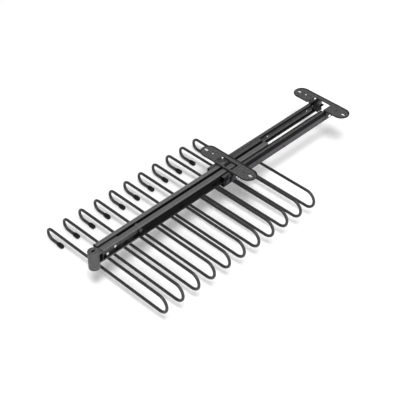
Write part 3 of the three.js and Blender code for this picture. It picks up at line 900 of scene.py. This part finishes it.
def make_cage(kind, word, side):
    """A strip bent round two rows of balls, with windows between the balls."""
    node = "%s_cage_%s" % (kind, word)
    body = "%s_balls_%s" % (kind, word)
    low, high = mm_box(node)
    outward, ball, count = CAGES[kind]
    away = side * outward
    strip_x, open_x = (high.x, low.x) if away > 0 else (low.x, high.x)
    mid = (high.z + low.z) / 2
    reach = (high.z - low.z) / 2 - ball
    sheet_x = strip_x - away * CAGE_SHEET / 2
    line = [Vector((open_x, mid + reach)), Vector((sheet_x, mid + reach)),
            Vector((sheet_x, mid - reach)), Vector((open_x, mid - reach))]
    outline = strip(fillet(line, CAGE_BEND, 4), CAGE_SHEET)
    dx, dy, dz = CAGE_WINDOW_HALF
    windows = []
    for i in range(1, count):
        y = low.y + (high.y - low.y) * i / count
        windows.append(brick((strip_x - dx, y - dy, mid - dz), (strip_x + dx, y + dy, mid + dz),
                             bevel=1.0, segments=2))
    mesh = cut_from(raw(*run(outline, low.y, high.y)), windows)
    finish_piece("cage_%s_%s" % (kind, word), mesh, CAGE, body,
                 stands_for=(node,), smooth=30)
    angles = [math.pi * k / BALL_STEPS for k in range(BALL_STEPS + 1)]
    profile = [(ball * math.sin(a), -ball * math.cos(a)) for a in angles]
    ball_x = strip_x - away * BALL_IN
    verts, faces = [], []
    for up in (1, -1):
        for i in range(count):
            y = low.y + (high.y - low.y) * (i + 0.5) / count
            v, f = turned(profile, BALL_SIDES, (ball_x, y, mid + up * reach), Z)
            faces += [[j + len(verts) for j in face] for face in f]
            verts += v
    piece("balls_%s_%s" % (kind, word), verts, faces, STEEL, body, "cage_plastic", smooth=60)


for side_word, side_sign in SIDES:
    for kind_word in CAGES:
        make_cage(kind_word, side_word, side_sign)


# plates: the front one has a window with a bar across, the rear one is open to the front

PLATE_SHEET = 2.0
PLATE_SHIFT = 0.8
WINDOW_X = (-24.3, 21.0)
WINDOW_Y = (-14.0, 8.0)
WINDOW_CUT_Z = 9.0
NOTCH_FRONT_Y = -40.0
BRIDGE_HALF = 2.5
PLATE_SLOT_X, PLATE_SLOT_LENGTH, PLATE_SLOT_WIDTH = 62.5, 9.5, 5.2
PLATE_HOLE_X, PLATE_HOLE_RADIUS = 44.0, 2.0
PLATE_CUT_Z = 5.0
DIMPLE_DEPTH = 0.8
# the top face's rim of painted shade, near and far
RIMS = (1.7, 4.2)
FAR_RIM_Y = 8.0
TOUCH = 0.1
DIMPLE_TOUCH = 0.3
BRIDGE_TOUCH = 0.3
# a face is an edge below the first share of its normal, and on top from the second
EDGE_FACING = 0.9
TOP_FACING = 0.3

EAR_Y = (-12.0, 7.0)
EAR_SHEET = 1.5
EAR_GAP = 0.3
EAR_LAP = 0.3
EAR_HOLE_START = 2.0
EAR_HOLE_LENGTH = 8.0

# (radius, distance) pairs, from the start of the tail and from the end of the head
RIVET_TAIL = ((0, 0), (2.5, 0), (2.5, 0.4), (1.6, 0.4))
RIVET_HEAD = ((1.6, 1.5), (3.8, 1.5), (3.534, 0.75), (2.356, 0.12), (0, 0))


def plate_cuts(word, centre_y):
    """The window or notch, the oblong holes, the small hole and the dimple of a plate."""
    if word == "front":
        front_y = centre_y + WINDOW_Y[0]
        spans = ((WINDOW_X[0], -BRIDGE_HALF), (BRIDGE_HALF, WINDOW_X[1]))
    else:
        front_y = centre_y + NOTCH_FRONT_Y
        spans = (WINDOW_X,)
    cuts = [brick((x0, front_y, -WINDOW_CUT_Z), (x1, centre_y + WINDOW_Y[1], WINDOW_CUT_Z),
                  bevel=0.8, segments=3) for x0, x1 in spans]
    for side, depth in ((-1, PLATE_CUT_Z), (1, DIMPLE_DEPTH)):
        cuts.append(stadium(PLATE_SLOT_LENGTH, PLATE_SLOT_WIDTH, -PLATE_CUT_Z, PLATE_CUT_Z,
                            (side * PLATE_SLOT_X, centre_y)))
        cuts.append(rod(PLATE_HOLE_RADIUS, (side * PLATE_HOLE_X, centre_y, -depth), Z,
                        depth + PLATE_CUT_Z))
    return cuts


def plate_coat(word, centre_y, half_width, half_run, c, n):
    """The coat of a face of a plate: painted shade on the edges, the rim, the dimple and the bar
    across the window, bare metal in some holes.
    """
    y = c.y - centre_y
    edge = abs(n.z) < EDGE_FACING and c.z < -TOUCH
    slot = abs(abs(c.x) - PLATE_SLOT_X) < PLATE_SLOT_LENGTH / 2 + TOUCH and \
        abs(y) < PLATE_SLOT_WIDTH / 2 + TOUCH
    hole = math.hypot(c.x + PLATE_HOLE_X, y) < PLATE_HOLE_RADIUS + TOUCH
    dimple = c.z < -DIMPLE_TOUCH and \
        math.hypot(c.x - PLATE_HOLE_X, y) < PLATE_HOLE_RADIUS + TOUCH
    bridge = word == "front" and abs(c.x) < BRIDGE_HALF + BRIDGE_TOUCH and \
        WINDOW_Y[0] < y < WINDOW_Y[1]
    inset = half_width - math.hypot(max(abs(c.x) - half_run, 0.0), y - PLATE_SHIFT)
    rim = RIMS[1] if y > FAR_RIM_Y else RIMS[0]
    if edge and slot:
        return ZINC if word == "front" else PLATE
    if edge and hole:
        return ZINC
    # painted shade on the edges, the dimple, the bar across the window and the rim
    if edge or dimple or bridge or (inset < rim - TOUCH and n.z > TOP_FACING):
        return PLATE_SHADE
    return PLATE


def make_ear(word, side_name, side, centre_y, bottom_z):
    """An ear bent down from a plate beside a fixed rail, with its rivet's hole."""
    inner = mm_box("fixed_rail_right")[1].x + EAR_GAP
    x0, x1 = sorted((side * inner, side * (inner + EAR_SHEET)))
    sheet = brick((x0, centre_y + EAR_Y[0], bottom_z),
                  (x1, centre_y + EAR_Y[1], EAR_LAP - PLATE_SHEET), bevel=0.45, segments=2)
    hole = rod(RIVET_HOLE_RADIUS, (side * (inner - EAR_HOLE_START), centre_y, RIVET_Z),
               (side, 0, 0), EAR_HOLE_LENGTH)
    finish_piece("ear_%s_%s" % (word, side_name), cut_from(sheet, [hole]), PLATE, FRAME_BODY,
                 smooth=30)


def make_rivet(word, side_name, side, centre_y):
    """A rivet with a domed head outside and a flat tail inside."""
    node = "%s_rivet_%s" % (word, side_name)
    low, high = mm_box(node)
    profile = pin_profile(RIVET_TAIL, RIVET_HEAD, high.x - low.x)
    start = (low.x if side > 0 else high.x, centre_y, RIVET_Z)
    piece("rivet_%s_%s" % (word, side_name), *turned(profile, PIN_SIDES, start, (side, 0, 0)),
          RIVET, FRAME_BODY, "zinc", stands_for=(node,), smooth=35)


def make_plate(word, centre_y):
    """A plate with its ears and rivets."""
    node = word + "_plate"
    low, high = mm_box(node)
    base = stadium(high.x - low.x, high.y - low.y, high.z - PLATE_SHEET, high.z,
                   (0.0, centre_y + PLATE_SHIFT), edge=0.45, rims=RIMS)
    half_width = (high.y - low.y) / 2
    half_run = (high.x - low.x) / 2 - half_width
    obj = finish_piece("plate_" + word, cut_from(base, plate_cuts(word, centre_y)), PLATE,
                       FRAME_BODY, stands_for=(node,), smooth=28)
    paint(obj, lambda c, n: plate_coat(word, centre_y, half_width, half_run, c, n))
    for side_name, side in SIDES:
        make_ear(word, side_name, side, centre_y, low.z)
        make_rivet(word, side_name, side, centre_y)


for plate_word, plate_y in PLATE_PLACES:
    make_plate(plate_word, plate_y)


# closing stops: the CAD blocks with softened edges

STOP_BEVEL = 0.35
STOP_MERGE = 0.01
FLAT_ANGLE = 0.02


def make_stop(word):
    """A closing stop made from its CAD mesh."""
    node = "rear_stop_" + word
    work = bmesh.new()
    work.from_mesh(nodes[node].data)
    bmesh.ops.remove_doubles(work, verts=work.verts, dist=STOP_MERGE * MM)
    bmesh.ops.dissolve_limit(work, angle_limit=FLAT_ANGLE, verts=work.verts, edges=work.edges)
    bevel_all(work, STOP_BEVEL, 2)
    mesh = bpy.data.meshes.new("stop")
    work.to_mesh(mesh)
    work.free()
    finish_piece("stop_" + word, mesh, STOP, FRAME_BODY, stands_for=(node,),
                 smooth=40)


for side_word, _ in SIDES:
    make_stop(side_word)


# handle: a round grip, a neck with an open pocket and a tongue between the rails

HANDLE_RADIUS = 11.5
HANDLE_Y = -369.0
HANDLE_EDGE = 1.4
HANDLE_SIDES = 64
GRIP_SLOT_LENGTH, GRIP_SLOT_WIDTH, GRIP_SLOT_DEPTH = 9.0, 4.2, 6.0
GRIP_SLOT_PAST = 2.0
NECK = ((-6.0, -369.0), (6.0, -366.0), (11.6, -364.7), (11.6, -354.3), (-6.0, -354.3))
NECK_Z = (-31.0, -7.0)
POCKET = ((4.0, -363.7, -27.6), (24.0, -355.7, -8.4))
POCKET_MOUTH = 0.3
TONGUE_X = (-4.7, 0.8)
TONGUE_START = 2.0
TONGUE_END_Y = -306.0
TONGUE_Z = (-28.5, -8.0)
SLOT_TOUCH = 0.2
TOP_TOUCH = 0.05
POCKET_TOUCH = 0.05


def make_handle():
    """The handle as one moulding, with painted shade inside its slot and its pocket."""
    low, high = mm_box("handle")
    rail_front = mm_box("moving_rail_right")[0].y
    height = high.z - low.z
    profile = rounded_profile([(0, 0), (HANDLE_RADIUS, 0), (HANDLE_RADIUS, height), (0, height)],
                              HANDLE_EDGE, 6)
    grip = raw(*turned(profile, HANDLE_SIDES, (0, HANDLE_Y, low.z), Z))
    neck = prism(NECK, NECK_Z[0], NECK_Z[1], 0.9)
    tongue = brick((TONGUE_X[0], rail_front - TONGUE_START, TONGUE_Z[0]),
                   (TONGUE_X[1], TONGUE_END_Y, TONGUE_Z[1]), bevel=0.6, segments=2)
    pocket = brick(POCKET[0], POCKET[1], bevel=2.2, segments=4)
    grip_slot = stadium(GRIP_SLOT_LENGTH, GRIP_SLOT_WIDTH, high.z - GRIP_SLOT_DEPTH,
                        high.z + GRIP_SLOT_PAST, (0, HANDLE_Y), turned_along_y=True)
    mesh = combine(grip, [("UNION", neck), ("DIFFERENCE", pocket), ("UNION", tongue),
                          ("DIFFERENCE", grip_slot)])
    obj = finish_piece("handle_grip", mesh, GRIP, CARRIAGE,
                       stands_for=("handle",), smooth=30)

    def coat(c, _):
        in_slot = math.hypot(c.x, c.y - HANDLE_Y) < GRIP_SLOT_LENGTH / 2 + SLOT_TOUCH and \
            high.z - GRIP_SLOT_DEPTH - SLOT_TOUCH < c.z < high.z - TOP_TOUCH
        in_pocket = c.x < NECK[2][0] - POCKET_MOUTH and \
            all(POCKET[0][i] - POCKET_TOUCH < c[i] < POCKET[1][i] + POCKET_TOUCH
                for i in range(3))
        # painted shade in the slot and the pocket
        return RECESS_SHADE if in_slot or in_pocket else GRIP

    paint(obj, coat)


make_handle()


# handle screws: domed heads with a cross recess

# (radius, distance) pairs, as for the rivets
SCREW_TAIL = ((0, 0), (1.2, 0), (1.5, 0.6))
SCREW_HEAD = ((1.5, 1.4), (3.2, 1.4), (3.1, 0.7), (1.9, 0.05), (0, 0))
CROSS_HALF = (1.6, 0.35)
CROSS_DEPTH = 1.0


def make_screw(word, y, z):
    """A screw through the right moving rail, the spine and the tongue."""
    node = "handle_screw_" + word
    low, high = mm_box(node)
    profile = pin_profile(SCREW_TAIL, SCREW_HEAD, high.x - low.x)
    screw = raw(*turned(profile, PIN_SIDES, (low.x, y, z), X))
    cross = [brick((high.x - CROSS_DEPTH, y - dy, z - dz), (high.x + CROSS_DEPTH, y + dy, z + dz))
             for dy, dz in (CROSS_HALF, CROSS_HALF[::-1])]
    finish_piece("screw_" + word, cut_from(screw, cross), ZINC, CARRIAGE,
                 stands_for=(node,), smooth=35)


for screw_word, (screw_y, screw_z) in zip(("front", "rear"), HANDLE_SCREWS):
    make_screw(screw_word, screw_y, screw_z)


# floor, lights and camera

floor_top = cad_low.z / MM - FLOOR_DROP
floor_mesh = brick((-FLOOR_SIZE / 2, -FLOOR_SIZE / 2, floor_top - FLOOR_THICKNESS),
                   (FLOOR_SIZE / 2, FLOOR_SIZE / 2, floor_top))
floor = bpy.data.objects.new("floor", floor_mesh)
bpy.context.collection.objects.link(floor)
floor_mat, _, floor_shader = material("floor_paper")
floor_shader.inputs["Base Color"].default_value = (*FLOOR_COLOUR, 1.0)
floor_shader.inputs["Roughness"].default_value = FLOOR_ROUGHNESS
floor_shader.inputs["Specular IOR Level"].default_value = FLOOR_SPECULAR
floor_mesh.materials.append(floor_mat)

world = bpy.data.worlds.new("studio")
bpy.context.scene.world = world
world.use_nodes = True
back = world.node_tree.nodes["Background"]
back.inputs["Color"].default_value = WORLD_COLOUR
back.inputs["Strength"].default_value = WORLD_STRENGTH


def area(name, place, size, power):
    """A square area light at place, facing the object."""
    light = bpy.data.lights.new(name, "AREA")
    light.size = size * MM
    light.energy = power
    lamp = bpy.data.objects.new(name, light)
    lamp.location = Vector(place) * MM
    facing = Vector(LIGHT_TARGET) - Vector(place)
    lamp.rotation_euler = facing.to_track_quat("-Z", "Y").to_euler()
    bpy.context.collection.objects.link(lamp)


for light_row in LIGHTS:
    area(*light_row)

camera_data = bpy.data.cameras.new("camera")
camera_data.lens = LENS
camera_data.sensor_width = SENSOR
camera = bpy.data.objects.new("camera", camera_data)
towards = Vector((
    math.sin(VIEW_AZIMUTH) * math.cos(VIEW_ELEVATION),
    -math.cos(VIEW_AZIMUTH) * math.cos(VIEW_ELEVATION),
    math.sin(VIEW_ELEVATION),
))
camera.location = (VIEW_TARGET + towards * VIEW_DISTANCE) * MM
camera.rotation_euler = (-towards).to_track_quat("-Z", "Y").to_euler()
bpy.context.collection.objects.link(camera)
bpy.context.scene.camera = camera
bpy.context.scene.view_settings.view_transform = "Standard"

bpy.context.view_layer.update()
